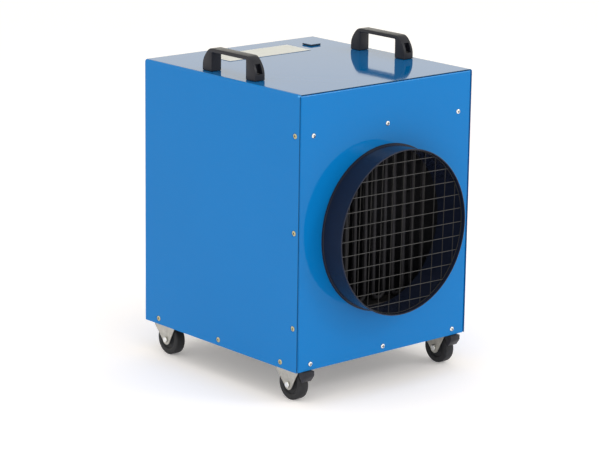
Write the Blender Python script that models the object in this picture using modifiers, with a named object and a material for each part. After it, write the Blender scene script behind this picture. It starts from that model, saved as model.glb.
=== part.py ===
"""Portable electric fan heater: a ducted air mover in a folded steel cabinet on four swivel casters.

The outlet spigot faces -Y, the intake and the controls face +Y, and the casters stand on Z = 0.
The origin is the centre of the footprint. All lengths are in metres.
"""

import math

import bmesh
import bpy
from mathutils import Matrix, Vector

MM = 0.001
GAP = 0.3 * MM
QUARTER = math.pi / 2

# Cabinet
CAB_W = 420 * MM
CAB_D = 440 * MM
CAB_H = 505 * MM
CAB_FOOT = 62 * MM
SHEET = 1.2 * MM
FLANGE = 15 * MM
FRONT = -CAB_D / 2
REAR = CAB_D / 2
CAB_TOP = CAB_FOOT + CAB_H
BASE_UNDER = 82 * MM
SHELF_TOP = CAB_FOOT + 421 * MM
PANEL_W = CAB_W - 2 * (SHEET + 0.4 * MM)
INNER_W = PANEL_W - 2 * (SHEET + 0.8 * MM)
INNER_D = CAB_D - 2 * (SHEET + 0.4 * MM)

# Air path, on one level axis from intake to outlet
AIR_Z = CAB_FOOT + 236.5 * MM
SPIGOT_R = 152 * MM
SPIGOT_OUT = 51 * MM
SPIGOT_IN = 20 * MM
INTAKE_R = 140 * MM
SHROUD_R = 142 * MM
SHROUD_FRONT = 130 * MM
GUARD_PITCH = 26 * MM
GUARD_WIRE = 2 * MM
FAN_R = 138 * MM
FAN_HUB_R = 42 * MM
FAN_Y = 165 * MM
BLADES = 5
MOTOR_R = 46 * MM
MOTOR_LENGTH = 92 * MM

# Heater bank
ELEMENTS = 6
ELEMENT_R = 4.2 * MM
ELEMENT_LEG = 26 * MM
HEATER_Y = -178 * MM
HEATER_HALF = 150 * MM

# Handles
HANDLE_X = 182 * MM
HANDLE_Y = -4.5 * MM
HANDLE_LENGTH = 149 * MM
HANDLE_OPENING = 97 * MM
HANDLE_WIDTH = 23 * MM
HANDLE_H = 43 * MM
HANDLE_BAR = 7 * MM

# Casters
WHEEL_R = 30 * MM
WHEEL_W = 20 * MM
TRAIL = 14 * MM
AXLE_R = 4 * MM
CASTER_X = 182.6 * MM
CASTER_Y = {"front": -168.3 * MM, "rear": 188.4 * MM}
CASTER_SIDE = {"left": -CASTER_X, "right": CASTER_X}
CHEEK = 2 * MM
CHEEK_IN = WHEEL_W / 2 + 2 * MM
CROWN_Z = 61.5 * MM
CROWN_R = 21 * MM
RACE_R = 17 * MM
PLATE_T = 2.5 * MM

# Controls, on a plate across the top of the rear panel
CONTROL_Z = 512 * MM
PLATE_W = 360 * MM
PLATE_H = 62 * MM
CONTROL_T = 1.5 * MM
CONTROL_FACE = REAR + GAP + CONTROL_T
SELECTOR_X = -30 * MM
THERMOSTAT_X = 30 * MM
RESET_X = -85 * MM
LAMP_X = {"lamp_power": -125 * MM, "lamp_heat": -152 * MM}
INLET_X = 118 * MM
INLET_R = 27 * MM
LID_T = 4 * MM
INLET_OUT = SPIGOT_OUT - CONTROL_T - LID_T - 3 * GAP

for leftover in list(bpy.data.objects):
    bpy.data.objects.remove(leftover, do_unlink=True)

heater = bpy.data.collections.new("fan_heater")
cutters = bpy.data.collections.new("cutters")
for collection in (heater, cutters):
    bpy.context.scene.collection.children.link(collection)


def material(name, colour, roughness, metallic=0.0):
    """A plain surface colour for one kind of finish."""
    finish = bpy.data.materials.new(name)
    finish.use_nodes = True
    shader = finish.node_tree.nodes["Principled BSDF"]
    shader.inputs["Base Color"].default_value = (*colour, 1.0)
    shader.inputs["Roughness"].default_value = roughness
    shader.inputs["Metallic"].default_value = metallic
    finish.diffuse_color = (*colour, 1.0)
    return finish


BLUE = material("blue_powder_coat", (0.012, 0.19, 0.53), 0.25)
NAVY = material("navy_gloss_paint", (0.008, 0.014, 0.035), 0.3)
ZINC = material("zinc_plate", (0.55, 0.55, 0.5), 0.35, 1.0)
GALVANISED = material("galvanised_sheet", (0.5, 0.52, 0.53), 0.45, 1.0)
STEEL = material("bright_steel", (0.6, 0.6, 0.6), 0.3, 1.0)
WIRE = material("plated_wire", (0.32, 0.32, 0.34), 0.35, 1.0)
SHEATH = material("element_sheath", (0.05, 0.048, 0.045), 0.5, 0.8)
BLACK = material("black_plastic", (0.02, 0.02, 0.022), 0.45)
RUBBER = material("tread_rubber", (0.025, 0.025, 0.027), 0.7)
GREY = material("grey_plastic", (0.35, 0.35, 0.36), 0.5)
MOTOR = material("motor_paint", (0.06, 0.06, 0.065), 0.5)
RED = material("red_plastic", (0.55, 0.02, 0.015), 0.4)
BRASS = material("brass", (0.7, 0.5, 0.2), 0.3, 1.0)
AMBER = material("amber_lens", (0.9, 0.35, 0.02), 0.15)
GREEN = material("green_lens", (0.05, 0.6, 0.12), 0.15)
LABEL = material("blank_label", (0.75, 0.76, 0.76), 0.4)


def place(name, mesh, finish, where=(0, 0, 0), turn=(0, 0, 0), parent=None, smooth=False):
    """Puts a mesh in the model as the named part, at a place in its parent's frame."""
    part = bpy.data.objects.new(name, mesh)
    heater.objects.link(part)
    part.location = where
    part.rotation_euler = turn
    part.parent = parent
    if not mesh.materials:
        mesh.materials.append(finish)
    if smooth:
        mesh.shade_smooth()
        mesh.set_sharp_from_angle(angle=math.radians(35))
    return part


def pivot(name, where, parent=None):
    """An empty on a joint's axis."""
    empty = bpy.data.objects.new(name, None)
    heater.objects.link(empty)
    empty.location = where
    empty.parent = parent
    return empty


def as_mesh(build, name):
    """Runs a bmesh recipe and returns the mesh."""
    work = bmesh.new()
    build(work)
    mesh = bpy.data.meshes.new(name)
    work.to_mesh(mesh)
    work.free()
    return mesh


def box_mesh(size, centre=(0, 0, 0)):
    """A box of the given size about a centre."""
    frame = Matrix.Translation(centre) @ Matrix.Diagonal((*size, 1))
    return as_mesh(lambda work: bmesh.ops.create_cube(work, size=1, matrix=frame), "box")


def rod_mesh(radius, length, axis="Z", centre=(0, 0, 0), sides=32, tip=None):
    """A cylinder, or a cone frustum when the far end has its own radius, along one axis."""
    turn = {"X": Matrix.Rotation(QUARTER, 4, "Y"), "Y": Matrix.Rotation(-QUARTER, 4, "X")}
    frame = Matrix.Translation(centre) @ turn.get(axis, Matrix.Identity(4))

    def build(work):
        bmesh.ops.create_cone(
            work,
            cap_ends=True,
            segments=sides,
            radius1=radius,
            radius2=radius if tip is None else tip,
            depth=length,
            matrix=frame,
        )

    return as_mesh(build, "rod")


def tray_mesh(low, high, open_sides, bend=2 * MM):
    """A folded sheet between two corners, with the listed sides left open and its bends rounded."""
    low = Vector(low)
    high = Vector(high)
    frame = Matrix.Translation((low + high) / 2) @ Matrix.Diagonal((*(high - low), 1))

    def build(work):
        bmesh.ops.create_cube(work, size=1, matrix=frame)
        gone = [f for f in work.faces if any(f.normal.dot(Vector(s)) > 0.9 for s in open_sides)]
        bmesh.ops.delete(work, geom=gone, context="FACES")
        bends = [e for e in work.edges if len(e.link_faces) == 2]
        bmesh.ops.bevel(work, geom=bends, offset=bend, segments=2, profile=0.5, affect="EDGES")

    return as_mesh(build, "tray")


def thicken(part, thickness=SHEET):
    """Gives a folded sheet its gauge, inwards."""
    skin = part.modifiers.new("gauge", "SOLIDIFY")
    skin.thickness = thickness
    skin.offset = -1
    skin.use_even_offset = True


def soften(part, width, segments=1, angle=40):
    """Breaks the edges of a part."""
    edge = part.modifiers.new("broken_edges", "BEVEL")
    edge.width = width
    edge.segments = segments
    edge.limit_method = "ANGLE"
    edge.angle_limit = math.radians(angle)


def turned(name, profile, finish, where, axis="Z", steps=48, parent=None):
    """A turned part: a profile of (radius, height) points, swept right round its axis."""
    closed = all(radius > 0 for radius, _ in profile)
    mesh = bpy.data.meshes.new(name)
    edges = [(i, i + 1) for i in range(len(profile) - 1)]
    if closed:
        edges.append((len(profile) - 1, 0))
    mesh.from_pydata([(radius, 0, height) for radius, height in profile], edges, [])
    turn = {"Z": (0, 0, 0), "Y": (-QUARTER, 0, 0), "X": (0, QUARTER, 0)}[axis]
    part = place(name, mesh, finish, where, turn, parent)
    lathe = part.modifiers.new("lathe", "SCREW")
    lathe.steps = steps
    lathe.render_steps = steps
    lathe.use_merge_vertices = True
    lathe.merge_threshold = 0.01 * MM
    lathe.use_smooth_shade = True
    return part


def flat_mesh(outlines, thickness, turn=(0, 0, 0), centre=(0, 0, 0)):
    """A flat plate from closed outlines in its own XY plane; inner outlines are its holes."""
    curve = bpy.data.curves.new("outline", "CURVE")
    curve.dimensions = "2D"
    curve.fill_mode = "BOTH"
    curve.extrude = thickness / 2
    for outline in outlines:
        line = curve.splines.new("POLY")
        line.points.add(len(outline) - 1)
        for point, (x, y) in zip(line.points, outline):
            point.co = (x, y, 0, 1)
        line.use_cyclic_u = True
    return curve_to_mesh(curve, turn, centre)


def tube_mesh(points, radius, resolution=2):
    """A round tube through the points, with closed ends."""
    curve = bpy.data.curves.new("tube", "CURVE")
    curve.dimensions = "3D"
    curve.bevel_depth = radius
    curve.bevel_resolution = resolution
    curve.use_fill_caps = True
    line = curve.splines.new("POLY")
    line.points.add(len(points) - 1)
    for point, place_at in zip(line.points, points):
        point.co = (*place_at, 1)
    return curve_to_mesh(curve)


def curve_to_mesh(curve, turn=(0, 0, 0), centre=(0, 0, 0)):
    """The closed mesh of a curve, turned and moved to its place."""
    drawn = bpy.data.objects.new("drawn", curve)
    bpy.context.scene.collection.objects.link(drawn)
    ready = drawn.evaluated_get(bpy.context.evaluated_depsgraph_get())
    mesh = bpy.data.meshes.new_from_object(ready)
    bpy.data.objects.remove(drawn)
    angles = Matrix.Rotation(turn[2], 4, "Z") @ Matrix.Rotation(turn[1], 4, "Y")
    mesh.transform(Matrix.Translation(centre) @ angles @ Matrix.Rotation(turn[0], 4, "X"))
    work = bmesh.new()
    work.from_mesh(mesh)
    bmesh.ops.remove_doubles(work, verts=work.verts, dist=0.005 * MM)
    bmesh.ops.recalc_face_normals(work, faces=work.faces)
    work.to_mesh(mesh)
    work.free()
    return mesh


def combine(part, mesh, operation, where=(0, 0, 0), turn=(0, 0, 0), parent=None):
    """Cuts a mesh from a part, or joins it on, through a hidden tool object."""
    tool = bpy.data.objects.new(f"tool_{part.name}", mesh)
    cutters.objects.link(tool)
    tool.location = where
    tool.rotation_euler = turn
    tool.parent = parent
    tool.hide_render = True
    tool.display_type = "WIRE"
    step = part.modifiers.new(operation.lower(), "BOOLEAN")
    step.operation = operation
    step.object = tool
    step.solver = "EXACT"


def circle(radius, count, start=0.0):
    """Points round a circle."""
    angles = [start + 2 * math.pi * i / count for i in range(count)]
    return [(radius * math.cos(a), radius * math.sin(a)) for a in angles]


def arc(centre, radius, first, last, count):
    """Points along an arc, in degrees, both ends included."""
    angles = [math.radians(first + (last - first) * i / (count - 1)) for i in range(count)]
    return [(centre[0] + radius * math.cos(a), centre[1] + radius * math.sin(a)) for a in angles]


# Cabinet: an inverted U of sheet round the front and rear trays, the base tray and the shelf.

LEFT = (-1, 0, 0)
RIGHT = (1, 0, 0)
TOWARDS_FRONT = (0, -1, 0)
TOWARDS_REAR = (0, 1, 0)
DOWN = (0, 0, -1)


def cabinet():
    half = PANEL_W / 2
    top = CAB_TOP - SHEET - 0.4 * MM
    cover = place(
        "wrap_cover",
        tray_mesh(
            (-CAB_W / 2, FRONT, CAB_FOOT),
            (CAB_W / 2, REAR, CAB_TOP),
            (TOWARDS_FRONT, TOWARDS_REAR, DOWN),
        ),
        BLUE,
    )
    thicken(cover)

    front = place(
        "front_panel",
        tray_mesh((-half, FRONT, CAB_FOOT), (half, FRONT + FLANGE, top), (TOWARDS_REAR, DOWN)),
        BLUE,
    )
    thicken(front)
    hole = rod_mesh(SPIGOT_R + 0.4 * MM, 3 * FLANGE, "Y", (0, FRONT, AIR_Z), 56)
    combine(front, hole, "DIFFERENCE")

    rear = place(
        "rear_panel",
        tray_mesh((-half, REAR - FLANGE, CAB_FOOT), (half, REAR, top), (TOWARDS_FRONT, DOWN)),
        BLUE,
    )
    thicken(rear)
    hole = rod_mesh(INTAKE_R, 3 * FLANGE, "Y", (0, REAR, AIR_Z), 48)
    combine(rear, hole, "DIFFERENCE")
    for x, radius in (
        (SELECTOR_X, 5 * MM),
        (THERMOSTAT_X, 5 * MM),
        (RESET_X, 7 * MM),
        (INLET_X, INLET_R - 4 * MM),
    ):
        hole = rod_mesh(radius, 3 * FLANGE, "Y", (x, REAR, CONTROL_Z), 24)
        combine(rear, hole, "DIFFERENCE")

    inner = INNER_W / 2
    base = place(
        "base_tray",
        tray_mesh(
            (-inner, -INNER_D / 2, CAB_FOOT + GAP),
            (inner, INNER_D / 2, BASE_UNDER + SHEET),
            (DOWN,),
        ),
        BLUE,
    )
    thicken(base)
    shelf = place(
        "divider_shelf",
        tray_mesh(
            (-inner, -INNER_D / 2, SHELF_TOP - FLANGE),
            (inner, INNER_D / 2, SHELF_TOP),
            (DOWN,),
        ),
        GALVANISED,
    )
    thicken(shelf)


def outlet():
    """The duct spigot with its rolled rim and flange, and the mesh guard inside it."""
    wall = SPIGOT_R - 1 * MM
    out = SPIGOT_OUT
    # Heights run from the cabinet's front face: outwards is positive.
    profile = [
        (SPIGOT_R, out),
        (SPIGOT_R + 2 * MM, out - 1.2 * MM),
        (SPIGOT_R + 2 * MM, out - 3.6 * MM),
        (SPIGOT_R, out - 5 * MM),
        (SPIGOT_R, 5.5 * MM),
        (SPIGOT_R + 1.4 * MM, 4 * MM),
        (SPIGOT_R, 2.4 * MM),
        (SPIGOT_R, GAP + 1.2 * MM),
        (SPIGOT_R + 6 * MM, GAP + 1.2 * MM),
        (SPIGOT_R + 6 * MM, GAP),
        (SPIGOT_R, GAP),
        (SPIGOT_R, -SPIGOT_IN),
        (wall, -SPIGOT_IN),
        (wall, out),
    ]
    spigot = turned("outlet_spigot", profile, NAVY, (0, FRONT, AIR_Z), "Z", 56)
    spigot.rotation_euler = (QUARTER, 0, 0)

    reach = wall - GAP
    guard_y = FRONT - out + 7 * MM
    cells = []
    count = math.ceil(reach / GUARD_PITCH)
    half = (GUARD_PITCH - GUARD_WIRE) / 2
    rim = circle(reach - 2.5 * MM, 40)
    for i in range(-count, count + 1):
        for j in range(-count, count + 1):
            centre = Vector((i * GUARD_PITCH, j * GUARD_PITCH))
            cell = clip_to_rim(centre, half, rim)
            if cell:
                cells.append(cell)
    mesh = flat_mesh([circle(reach, 40)] + cells, GUARD_WIRE, (QUARTER, 0, 0), (0, guard_y, AIR_Z))
    place("outlet_guard", mesh, WIRE)


def clip_to_rim(centre, half, rim):
    """The part of a square mesh opening that lies inside the guard's rim, or None if too small."""
    shape = [centre + Vector((half * a, half * b)) for a, b in ((-1, -1), (1, -1), (1, 1), (-1, 1))]
    for first, second in zip(rim, rim[1:] + rim[:1]):
        edge = Vector(second) - Vector(first)
        kept = []
        for a, b in zip(shape, shape[1:] + shape[:1]):
            side_a = edge.cross(a - Vector(first))
            side_b = edge.cross(b - Vector(first))
            if side_a >= 0:
                kept.append(a)
            if (side_a > 0 > side_b) or (side_a < 0 < side_b):
                kept.append(a.lerp(b, side_a / (side_a - side_b)))
        shape = kept
        if len(shape) < 3:
            return None
    area = sum(a.cross(b) for a, b in zip(shape, shape[1:] + shape[:1])) / 2
    return [tuple(p) for p in shape] if area > (9 * MM) ** 2 else None


def heater_bank():
    """Two folded rails across the outlet, with a row of sheathed hairpin elements between them."""
    rail_half = PANEL_W / 2 + 0.1 * MM
    depth = 34 * MM
    height = 14 * MM
    for name, side in (("heater_rail_top", 1), ("heater_rail_bottom", -1)):
        edge = AIR_Z + side * HEATER_HALF
        low, high = sorted((edge, edge + side * height))
        tray = tray_mesh(
            (-rail_half, HEATER_Y - depth / 2, low),
            (rail_half, HEATER_Y + depth / 2, high),
            ((0, 0, side),),
        )
        thicken(place(name, tray, GALVANISED))

    bend = ELEMENT_LEG / 2
    top = HEATER_HALF - GAP
    bottom = -HEATER_HALF + bend + ELEMENT_R + GAP
    hairpin = [(-bend, 0, top)]
    hairpin += [(x, 0, z) for x, z in arc((0, bottom), bend, 180, 360, 9)]
    hairpin.append((bend, 0, top))
    mesh = tube_mesh(hairpin, ELEMENT_R, 2)
    for i in range(ELEMENTS):
        x = (i - (ELEMENTS - 1) / 2) * 2 * ELEMENT_LEG * 0.92
        name = f"heating_element_{i + 1}"
        place(name, mesh, SHEATH, (x, HEATER_Y, AIR_Z), smooth=True)


def fan():
    """The intake shroud and guard, the motor on its bracket, and the impeller on its shaft."""
    face = REAR - SHEET - GAP
    gauge = 1.2 * MM
    profile = [
        (SHROUD_R + 26 * MM, face),
        (SHROUD_R + 26 * MM, face - gauge),
        (SHROUD_R + 7 * MM, face - gauge),
        (SHROUD_R + gauge, face - 12 * MM),
        (SHROUD_R + gauge, SHROUD_FRONT + gauge),
        (SHROUD_R + 14 * MM, SHROUD_FRONT + gauge),
        (SHROUD_R + 14 * MM, SHROUD_FRONT),
        (SHROUD_R, SHROUD_FRONT),
        (SHROUD_R, face - 12 * MM),
        (SHROUD_R + 6 * MM, face),
    ]
    turned("fan_shroud", profile, GALVANISED, (0, 0, AIR_Z), "Y", 40)

    ring_y = REAR + GAP + GUARD_WIRE / 2
    rings = [INTAKE_R + 6 * MM - i * 26 * MM for i in range(6)]
    bars = GUARD_WIRE
    outlines = []
    spokes = 6
    steps = 5
    for outer, inner in zip(rings, rings[1:]):
        for s in range(spokes):
            start = 360 / spokes * s
            end = start + 360 / spokes
            trim_out = math.degrees(bars / (outer - bars))
            trim_in = math.degrees(bars / (inner + bars))
            sector = arc((0, 0), outer - bars, start + trim_out, end - trim_out, steps)
            sector += arc((0, 0), inner + bars, end - trim_in, start + trim_in, steps)
            outlines.append(sector)
    rim = circle(rings[0] + bars, 32)
    guard = flat_mesh([rim] + outlines, GUARD_WIRE, (QUARTER, 0, 0), (0, ring_y, AIR_Z))
    place("intake_guard", guard, WIRE)

    bar = 11 * MM
    reach = SHROUD_R + 12 * MM
    cross = []
    arm = ((reach, -bar), (reach, bar), (30 * MM, bar), (bar, 30 * MM))
    for s in range(4):
        turn = Matrix.Rotation(QUARTER * s, 2)
        cross += [tuple(turn @ Vector(point)) for point in arm]
    bracket_t = 3 * MM
    bracket_y = SHROUD_FRONT - GAP - bracket_t / 2
    bracket = place(
        "motor_bracket",
        flat_mesh([cross, circle(20 * MM, 20)], bracket_t, (QUARTER, 0, 0), (0, bracket_y, AIR_Z)),
        ZINC,
    )
    soften(bracket, 0.4 * MM)

    back = bracket_y - bracket_t / 2 - GAP
    front = back - MOTOR_LENGTH
    profile = [
        (0, back),
        (MOTOR_R - 3 * MM, back),
        (MOTOR_R, back - 3 * MM),
        (MOTOR_R, front + 12 * MM),
        (MOTOR_R - 4 * MM, front + 8 * MM),
        (MOTOR_R - 12 * MM, front),
        (0, front),
    ]
    turned("motor_body", profile, MOTOR, (0, 0, AIR_Z), "Y", 28)

    axis = pivot("fan_axis", (0, FAN_Y, AIR_Z))
    hub_half = 16 * MM
    bore = 6 * MM
    profile = [
        (FAN_HUB_R - 3 * MM, hub_half),
        (FAN_HUB_R, hub_half - 3 * MM),
        (FAN_HUB_R, -hub_half),
        (bore + GAP, -hub_half),
        (bore + GAP, hub_half),
    ]
    impeller = turned("impeller", profile, GREY, (0, 0, 0), "Y", 28, axis)
    for b in range(BLADES):
        combine(impeller, blade_mesh(), "UNION", turn=(0, 2 * math.pi * b / BLADES, 0), parent=axis)
    nose = FAN_Y + hub_half + 8 * MM
    shaft = nose - back - GAP
    mesh = rod_mesh(bore, shaft, "Y", (0, back + GAP + shaft / 2 - FAN_Y, 0), 16)
    place("motor_shaft", mesh, STEEL, (0, 0, 0), (0, 0, 0), axis, smooth=True)


def blade_mesh():
    """One pitched, tapered fan blade that reaches from inside the hub to the tip."""
    root = FAN_HUB_R - 3 * MM
    rows = 5
    columns = 4
    thick = 2 * MM

    def build(work):
        sheet = []
        for r in range(rows):
            along = r / (rows - 1)
            radius = root + (FAN_R - root) * along
            chord = (40 + 34 * along) * MM
            pitch = math.radians(48 - 22 * along)
            for c in range(columns):
                across = (c / (columns - 1) - 0.5) * chord
                camber = 5 * MM * (1 - (2 * across / chord) ** 2)
                swing = (across * math.cos(pitch)) / radius
                depth = across * math.sin(pitch) * 0.72 + camber * math.cos(pitch)
                sheet.append(work.verts.new((radius * math.sin(swing), depth, radius * math.cos(swing))))
        for r in range(rows - 1):
            for c in range(columns - 1):
                i = r * columns + c
                work.faces.new((sheet[i], sheet[i + 1], sheet[i + columns + 1], sheet[i + columns]))
        bmesh.ops.recalc_face_normals(work, faces=work.faces)
        bmesh.ops.solidify(work, geom=work.faces[:], thickness=thick)
        bmesh.ops.recalc_face_normals(work, faces=work.faces)

    return as_mesh(build, "blade")


def handles():
    """Two bridge handles on the top, each with a screw pocket in the outer end of both feet."""
    outer = HANDLE_LENGTH / 2
    inner = HANDLE_OPENING / 2
    under = HANDLE_H - HANDLE_BAR
    side = [(outer, 0), (outer, 14 * MM)]
    side += [(outer - 3 * MM, 23 * MM), (outer - 8 * MM, 31 * MM), (outer - 14 * MM, 38 * MM)]
    side += [(outer - 20 * MM, 42 * MM), (outer - 25 * MM, HANDLE_H)]
    bend = 2.5 * MM
    eased = (inner - 0.3 * bend, under - 0.3 * bend)
    arch = [(inner - bend, under), eased, (inner, under - bend), (inner, 0)]
    outline = side + [(-y, z) for y, z in reversed(side)] + [(-y, z) for y, z in reversed(arch)] + arch
    mesh = flat_mesh([outline], HANDLE_WIDTH, (QUARTER, 0, QUARTER))
    for name, x in (("handle_left", -HANDLE_X), ("handle_right", HANDLE_X)):
        handle = place(name, mesh.copy(), BLACK, (x, HANDLE_Y, CAB_TOP + GAP))
        soften(handle, 2 * MM, 2, 50)
        for end in (-1, 1):
            pocket = box_mesh((12 * MM, 14 * MM, 18 * MM), (0, end * (outer - 5 * MM), 21 * MM))
            combine(handle, pocket, "DIFFERENCE", (x, HANDLE_Y, CAB_TOP + GAP))


def top_fittings():
    """The blank label and the hole plug on the top."""
    label = box_mesh((200 * MM, 70 * MM, 0.4 * MM), (0, 140 * MM, CAB_TOP + GAP + 0.2 * MM))
    place("blank_label", label, LABEL)
    plug = place("top_plug", box_mesh((26 * MM, 26 * MM, 3 * MM)), BLACK)
    plug.location = (140 * MM, 149 * MM, CAB_TOP + GAP + 1.5 * MM)
    soften(plug, 1 * MM, 1)


def casters():
    for end, y in CASTER_Y.items():
        for side, x in CASTER_SIDE.items():
            caster(f"{end}_{side}", x, y, end == "front")


def caster(name, x, y, braked):
    """One swivel caster: top plate with race, fork, wheel on its bolt, and a brake pedal if braked."""
    plate_top = BASE_UNDER - GAP
    plate_under = plate_top - PLATE_T
    race_top = plate_under + 0.5 * MM
    race_split = 72.5 * MM
    plate = place(
        f"caster_plate_{name}",
        box_mesh((44 * MM, 56 * MM, PLATE_T), (0, 0, plate_top - PLATE_T / 2)),
        ZINC,
        (x, y, 0),
    )
    race = rod_mesh(RACE_R + 2 * MM, race_top - race_split, "Z", (0, 0, (race_top + race_split) / 2), 20)
    combine(plate, race, "UNION", (x, y, 0))

    swivel = pivot(f"swivel_{name}", (x, y, 0))
    crown_t = 2.5 * MM
    fork = turned(
        f"caster_fork_{name}",
        [
            (0, race_split - GAP),
            (RACE_R - 2 * MM, race_split - GAP),
            (RACE_R, race_split - 2.5 * MM),
            (RACE_R, CROWN_Z + crown_t),
            (CROWN_R, CROWN_Z + crown_t),
            (CROWN_R, CROWN_Z),
            (0, CROWN_Z),
        ],
        ZINC,
        (0, 0, 0),
        "Z",
        20,
        swivel,
    )
    boss = 7.5 * MM
    axle = (-TRAIL, WHEEL_R)
    top = CROWN_Z - 0.2 * MM
    crown_edge = 15 * MM
    outline = [(-39 * MM, top), (-39 * MM, top - 6 * MM)]
    outline += arc(axle, boss, 205, 345, 5)
    outline += [(21 * MM, top - 8 * MM), (21 * MM, top), (crown_edge, top)]
    outline += [(crown_edge, top + 1.5 * MM), (-crown_edge, top + 1.5 * MM), (-crown_edge, top)]
    for side in (-1, 1):
        centre = (side * (CHEEK_IN + CHEEK / 2), 0, 0)
        cheek = flat_mesh([outline], CHEEK, (QUARTER, 0, QUARTER), centre)
        combine(fork, cheek, "UNION", parent=swivel)
        hole = rod_mesh(AXLE_R + GAP, 4 * CHEEK, "X", (centre[0], *axle), 12)
        combine(fork, hole, "DIFFERENCE", parent=swivel)

    head = 3.5 * MM
    bolt_half = CHEEK_IN + CHEEK + GAP
    turned(
        f"caster_bolt_{name}",
        [
            (0, bolt_half + head),
            (6 * MM, bolt_half + head),
            (6 * MM, bolt_half),
            (AXLE_R, bolt_half),
            (AXLE_R, -bolt_half),
            (6 * MM, -bolt_half),
            (6 * MM, -bolt_half - head),
            (0, -bolt_half - head),
        ],
        ZINC,
        (0, *axle),
        "X",
        12,
        swivel,
    )

    half = WHEEL_W / 2
    hub = AXLE_R + GAP
    profile = [
        (WHEEL_R - 2.5 * MM, half),
        (WHEEL_R, half - 3.5 * MM),
        (WHEEL_R, -half + 3.5 * MM),
        (WHEEL_R - 2.5 * MM, -half),
        (hub, -half),
        (hub, half),
    ]
    turned(f"caster_wheel_{name}", profile, RUBBER, (0, *axle), "X", 36, swivel)
    if braked:
        outline = [
            (-60 * MM, 60.6 * MM),
            (-60 * MM, 51 * MM),
            (-57 * MM, 46.5 * MM),
            (-49 * MM, 39.5 * MM),
            (-46.5 * MM, 42.5 * MM),
            (-41.5 * MM, 50.5 * MM),
            (-38 * MM, 55 * MM),
            (-30 * MM, 57.2 * MM),
            (-30 * MM, 60.6 * MM),
        ]
        hinge = (-33 * MM, 59 * MM)
        shape = [(py - hinge[0], pz - hinge[1]) for py, pz in outline]
        pedal_half = CHEEK_IN - 0.6 * MM
        mesh = flat_mesh([shape], 2 * pedal_half, (QUARTER, 0, QUARTER))
        pedal = place(f"brake_pedal_{name}", mesh, BLACK, (0, *hinge), (0, 0, 0), swivel)
        soften(pedal, 0.5 * MM)


def controls():
    """The control plate with its knobs, lamps, reset button and appliance inlet, and what is behind."""
    plate = place(
        "control_plate",
        box_mesh((PLATE_W, CONTROL_T, PLATE_H), (0, REAR + GAP + CONTROL_T / 2, CONTROL_Z)),
        BLACK,
    )
    for x, radius in (
        (SELECTOR_X, 5 * MM),
        (THERMOSTAT_X, 5 * MM),
        (RESET_X, 7 * MM),
        (INLET_X, INLET_R - 4 * MM),
    ):
        hole = rod_mesh(radius, 4 * CONTROL_T, "Y", (x, REAR, CONTROL_Z), 24)
        combine(plate, hole, "DIFFERENCE")

    spindle = 3 * MM
    for name, x, body in (("selector", SELECTOR_X, 40 * MM), ("thermostat", THERMOSTAT_X, 34 * MM)):
        inside = REAR - FLANGE - 3 * MM
        switch = place(
            f"{name}_switch",
            box_mesh((body, 36 * MM, body), (x, inside - 18 * MM, CONTROL_Z)),
            GREY,
        )
        soften(switch, 1.5 * MM, 1)
        axis = pivot(f"{name}_axis", (x, CONTROL_FACE, CONTROL_Z))
        knob = turned(
            f"{name}_knob",
            [
                (0, 15 * MM),
                (15 * MM, 15 * MM),
                (16.5 * MM, 13.5 * MM),
                (17.5 * MM, 4 * MM),
                (20 * MM, 3 * MM),
                (20 * MM, GAP + 0.2 * MM),
                (spindle, GAP + 0.2 * MM),
                (spindle, inside + GAP - CONTROL_FACE),
                (0, inside + GAP - CONTROL_FACE),
            ],
            BLACK,
            (0, 0, 0),
            "Y",
            24,
            axis,
        )
        pointer = box_mesh((6 * MM, 6 * MM, 30 * MM), (0, 17 * MM, 0))
        combine(knob, pointer, "UNION", parent=axis)

    bezel = [
        (7.6 * MM, 7 * MM),
        (11 * MM, 7 * MM),
        (13 * MM, 2 * MM),
        (13 * MM, GAP),
        (7.6 * MM, GAP),
    ]
    turned("reset_bezel", bezel, STEEL, (RESET_X, CONTROL_FACE, CONTROL_Z), "Y", 20)
    button = [
        (0, 10 * MM),
        (5.6 * MM, 10 * MM),
        (6.6 * MM, 9 * MM),
        (6.6 * MM, -8 * MM),
        (0, -8 * MM),
    ]
    turned("reset_button", button, RED, (RESET_X, CONTROL_FACE, CONTROL_Z), "Y", 20)
    for name, x in LAMP_X.items():
        lens = [
            (0, 8 * MM),
            (4 * MM, 7.4 * MM),
            (6.5 * MM, 5 * MM),
            (6.5 * MM, 3 * MM),
            (8.5 * MM, 2.4 * MM),
            (8.5 * MM, GAP),
            (0, GAP),
        ]
        finish = AMBER if name == "lamp_power" else GREEN
        turned(name, lens, finish, (x, CONTROL_FACE, CONTROL_Z), "Y", 18)
    inlet()

    floor = SHELF_TOP + GAP
    contactor = place(
        "contactor",
        box_mesh((45 * MM, 55 * MM, 58 * MM), (-60 * MM, 60 * MM, floor + 29 * MM)),
        GREY,
    )
    soften(contactor, 1.5 * MM, 1)
    strip = place(
        "terminal_block",
        box_mesh((90 * MM, 24 * MM, 22 * MM), (70 * MM, 90 * MM, floor + 11 * MM)),
        GREY,
    )
    soften(strip, 1 * MM, 1)
    turned(
        "overheat_thermostat",
        [(0, 12 * MM), (12 * MM, 12 * MM), (13 * MM, 10 * MM), (13 * MM, 0), (0, 0)],
        BLACK,
        (0, -120 * MM, floor),
        "Z",
        20,
    )


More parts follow.
